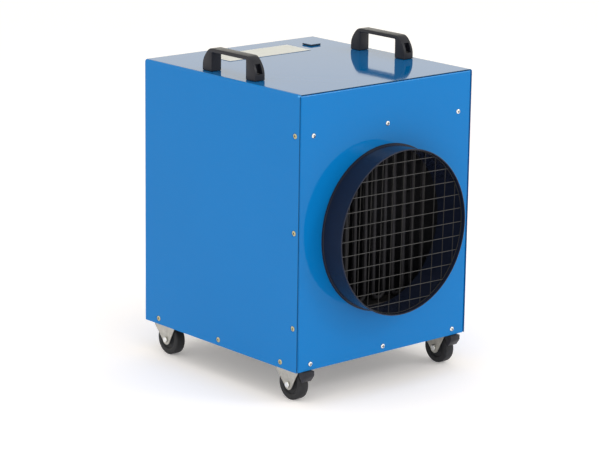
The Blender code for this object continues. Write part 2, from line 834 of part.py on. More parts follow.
def inlet():
    """A flanged five-pin appliance inlet with its socket facing the rear, and a sprung lid."""
    flange = 3 * MM
    housing = place(
        "inlet_housing",
        box_mesh((62 * MM, flange, 60 * MM), (0, GAP + flange / 2, 0)),
        RED,
        (INLET_X, CONTROL_FACE, CONTROL_Z),
    )
    where = (INLET_X, CONTROL_FACE, CONTROL_Z)
    length = INLET_OUT
    barrel = rod_mesh(INLET_R, length, "Y", (0, GAP + length / 2, 0), 32)
    combine(housing, barrel, "UNION", where)
    mouth = rod_mesh(INLET_R - 3 * MM, length, "Y", (0, GAP + 8 * MM + length / 2, 0), 32)
    combine(housing, mouth, "DIFFERENCE", where)
    tongue = box_mesh((14 * MM, 7 * MM, 7 * MM), (0, GAP + length - 3.5 * MM, INLET_R))
    combine(housing, tongue, "UNION", where)

    base_y = GAP + 8 * MM + GAP
    pins = turned(
        "inlet_pins",
        [
            (0, base_y + 3 * MM),
            (INLET_R - 3.4 * MM, base_y + 3 * MM),
            (INLET_R - 3.4 * MM, base_y),
            (0, base_y),
        ],
        BLACK,
        where,
        "Y",
        24,
    )
    for i in range(5):
        angle = 2 * math.pi * i / 5
        pin_at = (13 * MM * math.sin(angle), base_y + 12 * MM, 13 * MM * math.cos(angle))
        pin = rod_mesh(2.4 * MM if i else 3 * MM, 22 * MM, "Y", pin_at, 8)
        combine(pins, pin, "UNION", where)

    hinge_y = CONTROL_FACE + GAP + length - 3.5 * MM
    hinge_z = CONTROL_Z + INLET_R + 3.5 * MM + 3 * MM
    axis = pivot("lid_axis", (INLET_X, hinge_y, hinge_z))
    face = 3.5 * MM + GAP
    drop = INLET_R + 6.5 * MM
    lid = place(
        "inlet_lid",
        rod_mesh(INLET_R + 1.5 * MM, LID_T, "Y", (0, face + LID_T / 2, -drop), 32),
        RED,
        (0, 0, 0),
        (0, 0, 0),
        axis,
    )
    strap = box_mesh((12 * MM, LID_T, 10 * MM), (0, face + LID_T / 2, -4 * MM))
    combine(lid, strap, "UNION", parent=axis)
    knuckle = rod_mesh(2.6 * MM, 12 * MM, "X", (0, 0, 0), 20)
    web = box_mesh((12 * MM, face + LID_T, 2.6 * MM), (0, (face + LID_T) / 2, 0.6 * MM))
    combine(lid, knuckle, "UNION", parent=axis)
    combine(lid, web, "UNION", parent=axis)


cabinet()
outlet()
heater_bank()
fan()
handles()
top_fittings()
casters()
controls()
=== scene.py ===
"""The looks of a wheeled fan heater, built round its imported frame.

Lengths are in metres. Points written in millimetres are turned by MM where they are used.
"""
import math

import bmesh
import bpy
from mathutils import Matrix, Vector


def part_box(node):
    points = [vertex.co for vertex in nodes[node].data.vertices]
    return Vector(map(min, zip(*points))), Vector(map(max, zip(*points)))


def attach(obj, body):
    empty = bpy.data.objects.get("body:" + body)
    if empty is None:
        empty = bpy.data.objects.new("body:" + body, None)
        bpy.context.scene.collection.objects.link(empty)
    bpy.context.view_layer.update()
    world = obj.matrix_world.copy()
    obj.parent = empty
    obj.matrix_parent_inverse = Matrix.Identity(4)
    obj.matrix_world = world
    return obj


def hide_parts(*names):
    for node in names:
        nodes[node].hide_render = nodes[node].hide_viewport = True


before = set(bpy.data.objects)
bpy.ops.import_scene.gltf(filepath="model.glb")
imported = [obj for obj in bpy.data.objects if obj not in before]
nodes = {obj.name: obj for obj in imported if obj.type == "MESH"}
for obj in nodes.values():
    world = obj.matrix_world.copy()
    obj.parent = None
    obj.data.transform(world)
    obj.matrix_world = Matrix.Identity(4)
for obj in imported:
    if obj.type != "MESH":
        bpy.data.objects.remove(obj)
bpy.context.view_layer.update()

# Studio: a pale light table that glows a little from below, under an even white sky that is brightest
# low down, with a soft box overhead and one in front. The long lens looks down at the left front corner.

MM = 0.001
CAMERA_AZIMUTH = math.radians(-41.174)
CAMERA_ELEVATION = math.radians(14.263)
CAMERA_ROLL = math.radians(0.784)
CAMERA_DISTANCE = 4.327
CAMERA_OFFSET = (-3.38 * MM, -10.6 * MM)
LENS = 147.675
FLOOR_HALF = 30.0
SKY_LOW = 1.4
SKY_HIGH = 0.84
SKY_TURNS = (0.34, 0.5)
SKY_TINT = (1, 0.97, 0.87)
TABLE_GLOW = 0.2


class Term:
    """A value on a node's socket. Arithmetic on it adds Math nodes to its tree."""

    def __init__(self, tree, socket):
        self.tree = tree
        self.socket = socket

    def output(self, name):
        """Another output of the node that this value comes from."""
        return Term(self.tree, self.socket.node.outputs[name])

    def work(self, operation, *terms):
        return self.tree.node("ShaderNodeMath", terms, operation=operation)

    def __add__(self, other):
        return self.work("ADD", self, other)

    def __sub__(self, other):
        return self.work("SUBTRACT", self, other)

    def __rsub__(self, other):
        return self.work("SUBTRACT", other, self)

    def __mul__(self, other):
        return self.work("MULTIPLY", self, other)

    def __truediv__(self, other):
        return self.work("DIVIDE", self, other)

    def __pow__(self, other):
        return self.work("POWER", self, other)

    def __abs__(self):
        return self.work("ABSOLUTE", self)

    __radd__ = __add__
    __rmul__ = __mul__

    def larger(self, other):
        return self.work("MAXIMUM", self, other)

    def ramp(self, low, high):
        """0 below low, 1 above high, smooth between; low may be the larger."""
        sockets = {"Value": self, "From Min": low, "From Max": high}
        return self.tree.node("ShaderNodeMapRange", sockets, interpolation_type="SMOOTHSTEP")


class Tree:
    """A node tree that is written as expressions."""

    def __init__(self, nodes_and_links):
        self.tree = nodes_and_links

    def fill(self, socket, value):
        """Links a term to a socket, or sets the socket to a plain value."""
        if isinstance(value, Term):
            self.tree.links.new(value.socket, socket)
        else:
            socket.default_value = value

    def node(self, kind, sockets=(), out=0, **settings):
        """Adds a node: its settings first, then its sockets' values or links, by name or position."""
        made = self.tree.nodes.new(kind)
        for name, value in settings.items():
            setattr(made, name, value)
        for name, value in sockets.items() if isinstance(sockets, dict) else enumerate(sockets):
            self.fill(made.inputs[name], value)
        return Term(self, made.outputs[out])


class Finish(Tree):
    """A surface finish: the constants of its shader, and what varies over the piece."""

    def __init__(self, name, colour, roughness, metallic=0.0, **constants):
        self.material = bpy.data.materials.new(name)
        self.material.use_nodes = True
        super().__init__(self.material.node_tree)
        self.shader = self.tree.nodes["Principled BSDF"]
        self.colour = (*colour, 1)
        self.set("Base Color", self.colour)
        self.set("Roughness", roughness)
        self.set("Metallic", metallic)
        for socket, value in constants.items():
            self.set(socket.replace("_", " "), value)
        self.place = self.node("ShaderNodeTexCoord", out="Object")

    def set(self, socket, value):
        self.fill(self.shader.inputs[socket], value)

    def noise(self, scale, detail=2.0, stretch=(1, 1, 1)):
        """Noise of about 1 / scale metres, from 0 to 1."""
        place = self.node("ShaderNodeMapping", {"Vector": self.place, "Scale": stretch})
        return self.node("ShaderNodeTexNoise", {"Vector": place, "Scale": scale, "Detail": detail})

    def axes(self):
        """The piece's own X, Y and Z."""
        split = self.node("ShaderNodeSeparateXYZ", {0: self.place})
        return split, split.output("Y"), split.output("Z")

    def mix(self, first, second, factor, blend="MIX"):
        sockets = {0: factor, 6: first, 7: second}
        return self.node("ShaderNodeMix", sockets, out=2, data_type="RGBA", blend_type=blend)

    def shade(self, amount):
        """The base colour made darker and lighter by a value about 1."""
        grey = self.node("ShaderNodeCombineXYZ", (amount, amount, amount))
        self.set("Base Color", self.mix(self.colour, grey, 1.0, "MULTIPLY"))

    def bump(self, height, distance, strength):
        sockets = {"Strength": strength, "Distance": distance, "Height": height}
        self.set("Normal", self.node("ShaderNodeBump", sockets))


def placed(thing):
    """Puts an object into the scene."""
    bpy.context.scene.collection.objects.link(thing)
    return thing


def studio_floor():
    glow = {"Emission_Color": (1, 1, 1, 1), "Emission_Strength": TABLE_GLOW}
    paper = Finish("light_table", (0.93, 0.91, 0.95), 0.9, Specular_IOR_Level=0.0, **glow)
    paper.shade(paper.noise(0.8) * 0.01 + 0.995)
    mesh = bpy.data.meshes.new("studio_floor")
    corners = [(-1, -1), (1, -1), (1, 1), (-1, 1)]
    mesh.from_pydata([(x * FLOOR_HALF, y * FLOOR_HALF, 0) for x, y in corners], [], [(0, 1, 2, 3)])
    mesh.materials.append(paper.material)
    floor = placed(bpy.data.objects.new("studio_floor", mesh))


def studio_sky():
    world = bpy.data.worlds.new("studio_sky")
    world.use_nodes = True
    sky = Tree(world.node_tree)
    height = sky.node("ShaderNodeSeparateXYZ", {0: sky.node("ShaderNodeTexCoord")}, out="Z")
    low_part = height.ramp(SKY_TURNS[1], SKY_TURNS[0])
    strength = low_part * (SKY_LOW - SKY_HIGH) + SKY_HIGH
    background = world.node_tree.nodes["Background"]
    background.inputs["Color"].default_value = (*SKY_TINT, 1)
    world.node_tree.links.new(strength.socket, background.inputs["Strength"])
    bpy.context.scene.world = world


def soft_box(name, where, target, size, power):
    light = bpy.data.lights.new(name, "AREA")
    light.shape = "RECTANGLE"
    light.size, light.size_y = size
    light.energy = power
    lamp = placed(bpy.data.objects.new(name, light))
    lamp.location = where
    lamp.rotation_euler = (Vector(target) - Vector(where)).to_track_quat("-Z", "Y").to_euler()


def studio_camera():
    lens = bpy.data.cameras.new("camera")
    lens.lens = LENS
    lens.sensor_width = 36
    lens.clip_end = 100
    camera = placed(bpy.data.objects.new("camera", lens))
    level = math.cos(CAMERA_ELEVATION)
    across, along = math.sin(CAMERA_AZIMUTH) * level, math.cos(CAMERA_AZIMUTH) * level
    back = Vector((across, -along, math.sin(CAMERA_ELEVATION)))
    right = Vector((0, 0, 1)).cross(back).normalized()
    up = back.cross(right)
    cosine, sine = math.cos(CAMERA_ROLL), math.sin(CAMERA_ROLL)
    turned = Matrix((cosine * right + sine * up, cosine * up - sine * right, back)).transposed()
    low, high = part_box("wrap_cover")
    aim = Vector((low.x, low.y, (low.z + high.z) / 2))
    where = aim - turned @ Vector((*CAMERA_OFFSET, -CAMERA_DISTANCE))
    camera.matrix_world = Matrix.Translation(where) @ turned.to_4x4()
    bpy.context.scene.camera = camera


studio_floor()
studio_sky()
soft_box("overhead_box", (-0.5, -0.4, 2.4), (0, 0, 0.3), (1.6, 1.6), 9)
soft_box("front_box", (1.5, -2.5, 2.2), (0, -0.2, 0.3), (0.8, 0.8), 14)
studio_camera()
bpy.context.scene.view_settings.view_transform = "Standard"

# Cabinet sheets: 1.2 mm mild steel, laser cut, folded and powder coated gloss blue. One inverted U
# makes the top and both sides; the front and rear are trays that sit flush inside its ends, and the
# base tray closes the bottom. The galvanised shelf inside carries the control gear.

BLUE = (0.002, 0.174, 0.52)
# The top's darker blue is painted shade.
TOP_PAINTED_SHADE = (0.0, 0.105, 0.31)
# The pale blue along the front sheet's top bend is a painted highlight.
PRIMER_AND_SHADE = (0.02, 0.022, 0.03)
# The inner faces' near-black primer also serves as painted shade inside the cabinet.
LIP_PAINTED_HIGHLIGHT = (0.08, 0.36, 0.8)
# The dark blue on the cover's cut edges at the front is painted shade.
EDGE_PAINTED_SHADE = (0.001, 0.06, 0.14)
GAUGE = 1.2 * MM
SEAM = 1 * MM
BEND = 2.4 * MM
COVER_BEND = 5 * MM
BEND_STEPS = 5
FLAT_AREA = 0.0006
BOX_LOW, BOX_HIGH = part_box("wrap_cover")
FRONTWARD, REARWARD = Vector((0, -1, 0)), Vector((0, 1, 0))
DOWN = Vector((0, 0, -1))


def powder_coat():
    """Gloss powder: a fine orange peel over sheet that is not quite flat, a little dust low down.

    A pale band along the front sheet's top bend is a painted highlight, the flat top is a darker
    painted shade, and the cover's cut edges at the front carry a dark painted shade. The inner faces
    and the underside have only a dark primer, kept near black as painted shade inside the cabinet.
    """
    coat = Finish("blue_powder_coat", BLUE, 0.08, IOR=1.25)
    peel = coat.noise(420, 3) * 0.6 + coat.noise(1500, 2) * 0.4
    waves = coat.noise(5, 1)
    coat.bump(peel * 0.02 + waves * 0.6, 0.4 * MM, 0.3)
    across, along, height = coat.axes()
    side, end, top_z = abs(across), abs(along), BOX_HIGH.z
    dust = height.ramp(0.2, 0.06) * coat.noise(60, 4).ramp(0.35, 0.75)
    # Painted shade: the flat top is mixed to a darker blue, as less light falls on it than on the sides.
    top = height.ramp(top_z - 0.4 * MM, top_z - 0.1 * MM)
    rim = height.ramp(top_z - 6 * MM, top_z - 5 * MM)
    rim = rim.larger(side.ramp(BOX_HIGH.x - 5 * MM, BOX_HIGH.x - 4 * MM))
    rim = rim * along.ramp(BOX_LOW.y + 7 * MM, BOX_LOW.y + 5 * MM)
    from_side = (side - (BOX_HIGH.x - COVER_BEND)).larger(0)
    from_top = (height - (top_z - COVER_BEND)).larger(0)
    reach = (from_side * from_side + from_top * from_top) ** 0.5
    out = reach.ramp(COVER_BEND - 1.15 * MM, COVER_BEND - 1.1 * MM).larger(rim)
    out = out.larger(end.ramp(BOX_HIGH.y - 1.15 * MM, BOX_HIGH.y - 1.1 * MM))
    # Painted highlight: a pale band near the top of the front, along the front sheet's top bend.
    highlight_band = height.ramp(top_z - 4.6 * MM, top_z - 3.4 * MM) * rim
    highlight_band = highlight_band * height.ramp(top_z - 1.4 * MM, top_z - 1.6 * MM)
    # Painted shade: the cover's cut edges at the front are made a dark blue.
    edge_shade = height.ramp(top_z - 1.4 * MM, top_z - 1.2 * MM)
    edge_shade = edge_shade.larger(side.ramp(BOX_HIGH.x - 1.4 * MM, BOX_HIGH.x - 1.2 * MM))
    edge_shade = edge_shade * along.ramp(BOX_LOW.y + 0.1 * MM, BOX_LOW.y + 0.05 * MM)
    painted = coat.mix(coat.colour, (*TOP_PAINTED_SHADE, 1), top)
    painted = coat.mix(painted, (*LIP_PAINTED_HIGHLIGHT, 1), highlight_band)
    painted = coat.mix(painted, (*EDGE_PAINTED_SHADE, 1), edge_shade)
    # Away from the outer faces the colour is a near-black primer, which is also painted shade inside the
    # cabinet.
    coat.colour = coat.mix((*PRIMER_AND_SHADE, 1), painted, out)
    coat.shade(coat.noise(3.5, 3) * 0.08 + 0.96)
    gloss = coat.noise(24, 4) * 0.04 + 0.04 + dust * 0.15
    coat.set("Roughness", gloss + (1 - out) * 0.5)
    return coat.material


def extent(node):
    """A node's low and high corners, and its centre."""
    low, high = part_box(node)
    return low, high, (low + high) / 2


def piece(name, mesh, finish, body, slot, *replaced):
    """Adds a finished mesh: its surface, the body it moves with and the nodes it stands for."""
    thing = placed(bpy.data.objects.new(name, mesh))
    mesh.materials.clear()
    mesh.materials.append(finish)
    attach(thing, body)
    if replaced:
        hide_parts(*replaced)
    return thing


def redress(node, finish):
    """Gives a node of the frame its finish."""
    nodes[node].data.materials.clear()
    nodes[node].data.materials.append(finish)


def as_mesh(work):
    mesh = bpy.data.meshes.new("mesh")
    work.to_mesh(mesh)
    work.free()
    return mesh


def smoothed(mesh, sharp):
    """Round parts smooth, with an edge where faces meet at more than so many degrees."""
    mesh.shade_smooth()
    mesh.set_sharp_from_angle(angle=math.radians(sharp))
    return mesh


def finished(work, sharp=32):
    """Closes a bmesh: doubles merged, faces outward, round parts smooth."""
    bmesh.ops.remove_doubles(work, verts=work.verts, dist=0.002 * MM)
    bmesh.ops.recalc_face_normals(work, faces=work.faces)
    return smoothed(as_mesh(work), sharp)


def evaluated(thing, *tools):
    """The plain mesh that an object's modifiers make. The object and its tools are removed."""
    mesh = bpy.data.meshes.new_from_object(thing.evaluated_get(bpy.context.evaluated_depsgraph_get()))
    for used in (thing, *tools):
        bpy.data.objects.remove(used)
    return mesh


def applied(mesh, *steps):
    """A mesh with modifiers applied. Each step is a kind and its settings; a cutter is a mesh."""
    thing = placed(bpy.data.objects.new("blank", mesh))
    tools = []
    for kind, settings in steps:
        step = thing.modifiers.new(kind, kind)
        for name, value in settings.items():
            if isinstance(value, bpy.types.Mesh):
                value = placed(bpy.data.objects.new("tool", value))
                tools.append(value)
            setattr(step, name, value)
    return evaluated(thing, *tools)


def cuts(holes):
    """The steps that cut some meshes out of another."""
    return [("BOOLEAN", {"operation": "DIFFERENCE", "object": hole}) for hole in holes]


def rod(radius, length, centre, axis="Y", sides=48, tip=None):
    """A plain cylinder or frustum along one axis, for cutters and cores."""
    turn = {"X": Matrix.Rotation(math.pi / 2, 4, "Y"), "Y": Matrix.Rotation(-math.pi / 2, 4, "X")}
    work = bmesh.new()
    spot = Matrix.Translation(centre) @ turn.get(axis, Matrix.Identity(4))
    ends = {"radius1": radius, "radius2": radius if tip is None else tip}
    bmesh.ops.create_cone(work, cap_ends=True, segments=sides, depth=length, matrix=spot, **ends)
    return finished(work)


def folded_sheet(low, high, open_sides, holes, bend=BEND):
    """A tray of sheet between two corners: some sides open, its bends rounded, its gauge inwards."""
    work = bmesh.new()
    spot = Matrix.Translation((low + high) / 2) @ Matrix.Diagonal((*(high - low), 1))
    bmesh.ops.create_cube(work, size=1, matrix=spot)
    gone = [face for face in work.faces if any(face.normal.dot(side) > 0.9 for side in open_sides)]
    bmesh.ops.delete(work, geom=gone, context="FACES")
    bends = [edge for edge in work.edges if len(edge.link_faces) == 2]
    shape = {"offset": bend, "segments": BEND_STEPS, "profile": 0.5, "affect": "EDGES"}
    bmesh.ops.bevel(work, geom=bends, **shape)
    shell = {"thickness": GAUGE, "offset": -1, "use_even_offset": True}
    mesh = applied(as_mesh(work), ("SOLIDIFY", shell), *cuts(holes))
    for face in mesh.polygons:
        face.use_smooth = face.area < FLAT_AREA and max(abs(c) for c in face.normal) < 0.9999
    return mesh


blue_coat = powder_coat()
DIMPLE_DEPTH = 1 * MM
DIMPLE_ENDS = {-1: (6.4 * MM, 5.4 * MM), 1: (5.4 * MM, 6.4 * MM)}
SIDE_SCREWS = [(-207.5, 492), (-207.5, 317), (-207.5, 142), (-174.5, 72.5), (1.5, 72.5), (180.7, 72.5)]
dimples = []
for side in (-1, 1):
    for y, z in SIDE_SCREWS:
        spot = (side * (BOX_HIGH.x - DIMPLE_DEPTH / 2), y * MM, z * MM)
        left_end, right_end = DIMPLE_ENDS[side]
        dimples.append(rod(left_end, DIMPLE_DEPTH * 1.02, spot, "X", 32, right_end))
cover = folded_sheet(BOX_LOW, BOX_HIGH, (FRONTWARD, REARWARD, DOWN), dimples, COVER_BEND)
piece("cover_sheet", cover, blue_coat, "cabinet", "blue_powder_coat", "wrap_cover")

AIR_Z = extent("outlet_spigot")[2].z
TUBE_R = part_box("outlet_spigot")[1].x - 6 * MM
low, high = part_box("front_panel")
FRONT = low.y
tube_hole = rod(TUBE_R + 0.3 * MM, 0.08, (0, FRONT, AIR_Z), sides=96)
reveal = Vector((SEAM, 0, 0))
low, high = low + reveal, high - reveal - Vector((0, 0, SEAM))
front = folded_sheet(low, high, (REARWARD, DOWN), [tube_hole])
piece("front_sheet", front, blue_coat, "cabinet", "blue_powder_coat", "front_panel")

for node in ("base_tray", "rear_panel"):
    redress(node, blue_coat)


def zinc_sheet(name, colour, roughness, spangle):
    """Galvanised or zinc plated steel: flakes of a few millimetres, dull in random patches."""
    zinc = Finish(name, colour, roughness, 0.9)
    flakes = zinc.node("ShaderNodeTexVoronoi", {"Vector": zinc.place, "Scale": spangle}, out="Color")
    flake = zinc.node("ShaderNodeSeparateColor", {0: flakes})
    zinc.shade(flake * 0.22 + zinc.noise(90, 4) * 0.35 + 0.7)
    zinc.set("Roughness", flake * 0.12 + zinc.noise(50, 3) * 0.2 + (roughness - 0.16))
    zinc.bump(zinc.noise(700, 3), 0.05 * MM, 0.5)
    return zinc.material


galvanised = zinc_sheet("galvanised_sheet", (0.42, 0.43, 0.44), 0.42, 160)
redress("divider_shelf", galvanised)

# Outlet spigot: a 300 mm ring of 1 mm sheet, rolled, seam welded and spot welded to a narrow flange
# on the front panel, with a small curled rim that stops a duct clamp. It is painted navy black.


def spun(profile, centre, axis="Y", steps=64, sharp=32):
    """A turned shape: (radius, distance along the axis) points swept round a line through centre."""
    basis = {
        "X": Matrix(((0, 0, 1), (1, 0, 0), (0, 1, 0))),
        "Y": Matrix(((1, 0, 0), (0, 0, 1), (0, -1, 0))),
        "Z": Matrix.Identity(3),
    }[axis]
    work = bmesh.new()
    points = [work.verts.new((radius, 0, along)) for radius, along in profile]
    pairs = list(zip(points, points[1:]))
    if all(radius > 0 for radius, _ in profile):
        pairs.append((points[-1], points[0]))
    chain = [work.edges.new(pair) for pair in pairs]
    sweep = {"angle": 2 * math.pi, "steps": steps, "axis": (0, 0, 1), "cent": (0, 0, 0)}
    bmesh.ops.spin(work, geom=points + chain, use_merge=True, **sweep)
    work.transform(Matrix.Translation(centre) @ basis.to_4x4())
    return finished(work, sharp)


def curl(centre, radius, first, last, count):
    """Points of a profile round part of a circle, in degrees."""
    angles = [math.radians(first + (last - first) * i / (count - 1)) for i in range(count)]
    return [(centre[0] + radius * math.cos(a), centre[1] + radius * math.sin(a)) for a in angles]


def gloss_paint(name, colour):
    """Sprayed gloss enamel with a soft flow mark and fine dust nibs."""
    paint = Finish(name, colour, 0.2, IOR=1.3)
    nibs = paint.noise(900, 2).ramp(0.72, 0.8)
    paint.bump(paint.noise(160, 3) * 0.25 + nibs * 0.2, 0.2 * MM, 0.25)
    paint.shade(paint.noise(9, 3) * 0.3 + 0.85)
    paint.set("Roughness", paint.noise(40, 3) * 0.12 + 0.16)
    return paint.material


def spigot():
    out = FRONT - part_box("outlet_spigot")[0].y
    inner_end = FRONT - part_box("outlet_spigot")[1].y
    wall = 1 * MM
    rim = 1.3 * MM
    flange = TUBE_R + 3.4 * MM
    flange_t = 1.2 * MM
    proud = 0.3 * MM
    profile = [(TUBE_R - wall, inner_end), (TUBE_R, inner_end), (TUBE_R, proud)]
    profile += [(flange - 0.4 * MM, proud), (flange, proud + 0.4 * MM)]
    profile += [(flange, proud + 0.9 * MM), (flange - 0.4 * MM, proud + flange_t)]
    profile += [(TUBE_R + 0.8 * MM, proud + flange_t), (TUBE_R, proud + flange_t + 0.8 * MM)]
    profile += [(TUBE_R, out - 2.2 * rim)]
    profile += curl((TUBE_R + rim - 1.4 * MM, out - rim), rim, -60, 130, 10)
    profile += [(TUBE_R - wall, out - 1.6 * MM)]
    mesh = spun([(r, -along) for r, along in profile], (0, FRONT, AIR_Z), steps=144)
    piece("spigot_tube", mesh, navy_paint, "cabinet", "navy_gloss_paint", "outlet_spigot")


navy_paint = gloss_paint("navy_gloss_paint", (0.011, 0.0155, 0.034))
spigot()

# Outlet guard: welded mesh of 1.5 mm plated wire at 26 mm pitch, uprights behind and level wires in
# front, cut round and welded to a ring just inside the rim. It sits a degree off square.

GUARD_PITCH = 26 * MM
GUARD_WIRE_R = 0.75 * MM
GUARD_TILT = math.radians(1.0)


class Recipe(Tree):
    """A Geometry Nodes tree with named sizes. It ends in real faces with their finish."""

    def __init__(self, name):
        super().__init__(bpy.data.node_groups.new(name, "GeometryNodeTree"))
        self.tree.interface.new_socket("Geometry", in_out="INPUT", socket_type="NodeSocketGeometry")
        self.tree.interface.new_socket("Geometry", in_out="OUTPUT", socket_type="NodeSocketGeometry")
        self.entry = self.tree.nodes.new("NodeGroupInput")
        self.keys = {}

    def size(self, name, kind="Float"):
        made = self.tree.interface.new_socket(name, in_out="INPUT", socket_type="NodeSocket" + kind)
        self.keys[name] = made.identifier
        return Term(self, self.entry.outputs[name])

    def points(self):
        return Term(self, self.entry.outputs["Geometry"])

    def join(self, *parts):
        made = self.tree.nodes.new("GeometryNodeJoinGeometry")
        for part in reversed(parts):
            self.tree.links.new(part.socket, made.inputs[0])
        return Term(self, made.outputs[0])

    def vector(self, *terms):
        return self.node("ShaderNodeCombineXYZ", terms)

    def tube(self, curve, radius, sides=8):
        section = self.node("GeometryNodeCurvePrimitiveCircle", {"Radius": radius, "Resolution": sides})
        sockets = {"Curve": curve, "Profile Curve": section, "Fill Caps": True}
        return self.node("GeometryNodeCurveToMesh", sockets)

    def move(self, geometry, by=(0, 0, 0), turn=(0, 0, 0), scale=(1, 1, 1)):
        sockets = {"Geometry": geometry, "Translation": by, "Rotation": turn, "Scale": scale}
        return self.node("GeometryNodeTransform", sockets)

    def close(self, geometry):
        real = self.node("GeometryNodeRealizeInstances", {0: geometry})
        dressed = self.node("GeometryNodeSetMaterial", {0: real, 2: self.size("Finish", "Material")})
        leave = self.tree.nodes.new("NodeGroupOutput")
        self.tree.links.new(dressed.socket, leave.inputs[0])

    def cook(self, finish, places=((0, 0, 0),), edges=(), **sizes):
        """The plain mesh that the recipe makes from some points, edges and sizes."""
        mesh = bpy.data.meshes.new("points")
        mesh.from_pydata([tuple(place) for place in places], edges, [])
        thing = placed(bpy.data.objects.new("points", mesh))
        step = thing.modifiers.new("recipe", "NODES")
        step.node_group = self.tree
        for name, value in {**sizes, "Finish": finish}.items():
            step[self.keys[name.replace("_", " ")]] = value
        return smoothed(evaluated(thing), 40)


def plated_wire(shade_from):
    """Zinc plated drawn wire: grey, slightly streaked, and darker behind a given depth as painted shade on
    the uprights behind.
    """
    wire = Finish("plated_wire", (0.06, 0.06, 0.062), 0.4, 0.85)
    # Painted shade: the wire's colour is halved behind the given depth, where the uprights sit behind the
    # level wires.
    shade_behind = wire.axes()[1].ramp(shade_from - 0.2 * MM, shade_from)
    wire.shade((wire.noise(180, 4) * 0.7 + 0.8) * (shade_behind * -0.5 + 1))
    wire.set("Roughness", wire.noise(400, 3) * 0.3 + 0.28)
    wire.bump(wire.noise(1800, 2), 0.05 * MM, 0.4)
    return wire.material


def mesh_guard_recipe():
    guard = Recipe("round_mesh_guard")
    reach = guard.size("Reach")
    pitch = guard.size("Pitch")
    wire = guard.size("Wire Radius")
    count = guard.size("Wires", "Int")
    half = (count - 1) * pitch * -0.5
    line = guard.node(
        "GeometryNodeMeshLine",
        {"Count": count, "Start Location": guard.vector(half, 0, 0), "Offset": guard.vector(pitch, 0, 0)},
    )
    across = guard.node("ShaderNodeSeparateXYZ", {0: guard.node("GeometryNodeInputPosition")})
    chord = (reach * reach - across * across).larger(0) ** 0.5
    stick = guard.node("GeometryNodeCurvePrimitiveLine", {"Start": (0, 0, -1), "End": (0, 0, 1)})
    wires = guard.node(
        "GeometryNodeInstanceOnPoints",
        {"Points": line, "Instance": stick, "Scale": guard.vector(1, 1, chord)},
    )
    uprights = guard.tube(guard.node("GeometryNodeRealizeInstances", {0: wires}), wire)
    level = guard.move(uprights, guard.vector(0, wire * -1.9, 0), (0, math.pi / 2, 0))
    hoop = guard.node("GeometryNodeCurvePrimitiveCircle", {"Radius": reach, "Resolution": 96})
    hoop = guard.move(guard.tube(hoop, wire), turn=(math.pi / 2, 0, 0))
    whole = guard.join(uprights, level, hoop)
    turned = guard.move(whole, guard.size("Centre", "Vector"), guard.size("Turn", "Vector"))
    guard.close(turned)
    return guard


low, high, middle = extent("outlet_guard")
guard_wire = plated_wire(middle.y + 0.1 * GUARD_WIRE_R)
mesh = mesh_guard_recipe().cook(
    guard_wire,
    Reach=high.x - GUARD_WIRE_R,
    Pitch=GUARD_PITCH,
    Wire_Radius=GUARD_WIRE_R,
    Wires=11,
    Centre=(0, middle.y + GUARD_WIRE_R, AIR_Z),
    Turn=(0, GUARD_TILT, 0),
)
piece("outlet_wire_guard", mesh, guard_wire, "cabinet", "plated_wire", "outlet_guard")

# Handles: two bought-in bridge handles, moulded in black glass-filled nylon. The grip is a thin flat
# bar between solid shoulders, and a screw in a pocket in each shoulder holds it to the cover.

HANDLE_SHOULDER = [(0, 0), (0, 14), (-3, 23), (-8, 31), (-14, 38), (-20, 42), (-25, 43)]
HANDLE_OPENING = 97 * MM
HANDLE_BAR = 7 * MM
POCKET_FLOOR = 12 * MM
POCKET_SIZE = (12 * MM, 14 * MM, 18 * MM)


def plastic(name, colour, roughness):
    """Moulded plastic: a fine eroded grain, lightly scuffed."""
    moulding = Finish(name, colour, roughness, IOR=1.36)
    scuffs = moulding.noise(80, 4, (1, 0.35, 1)).ramp(0.6, 0.8)
    moulding.bump(moulding.noise(800, 3), 0.06 * MM, 0.45)
    moulding.shade(scuffs * 0.5 + moulding.noise(18, 2) * 0.25 + 0.85)
    moulding.set("Roughness", moulding.noise(130, 3) * 0.16 + scuffs * 0.1 + (roughness - 0.1))
    return moulding.material


def block(size, centre):
    """A plain box, for cutters and small parts."""
    work = bmesh.new()
    spot = Matrix.Translation(centre) @ Matrix.Diagonal((*size, 1))
    bmesh.ops.create_cube(work, size=1, matrix=spot)
    return finished(work)


def eased(points):
    """Cuts the corners of an open run of points twice, so that it reads as a curve."""
    for _ in range(2):
        run = [points[0]]
        for (x0, y0), (x1, y1) in zip(points, points[1:]):
            run.append((0.75 * x0 + 0.25 * x1, 0.75 * y0 + 0.25 * y1))
            run.append((0.25 * x0 + 0.75 * x1, 0.25 * y0 + 0.75 * y1))
        points = run + [points[-1]]
    return points


def slab(outline, thickness, centre, axis="X", bevel=0.4 * MM, segments=2, holes=()):
    """A flat plate: an outline across one axis, its rims rounded, then its holes cut."""
    place = {
        "X": lambda a, b, t: (t, a, b),
        "Y": lambda a, b, t: (a, t, b),
        "Z": lambda a, b, t: (a, b, t),
    }[axis]
    work = bmesh.new()
    faces = []
    for side in (-0.5, 0.5):
        ring = [Vector(place(a, b, side * thickness)) + Vector(centre) for a, b in outline]
        faces.append([work.verts.new(corner) for corner in ring])
        work.faces.new(faces[-1])
    for i in range(len(outline)):
        work.faces.new((faces[0][i - 1], faces[0][i], faces[1][i], faces[1][i - 1]))
    mesh = finished(work)
    rim = {"width": bevel, "segments": segments, "limit_method": "ANGLE", "angle_limit": 0.6}
    return smoothed(applied(mesh, ("BEVEL", rim), *cuts(holes)), 38)


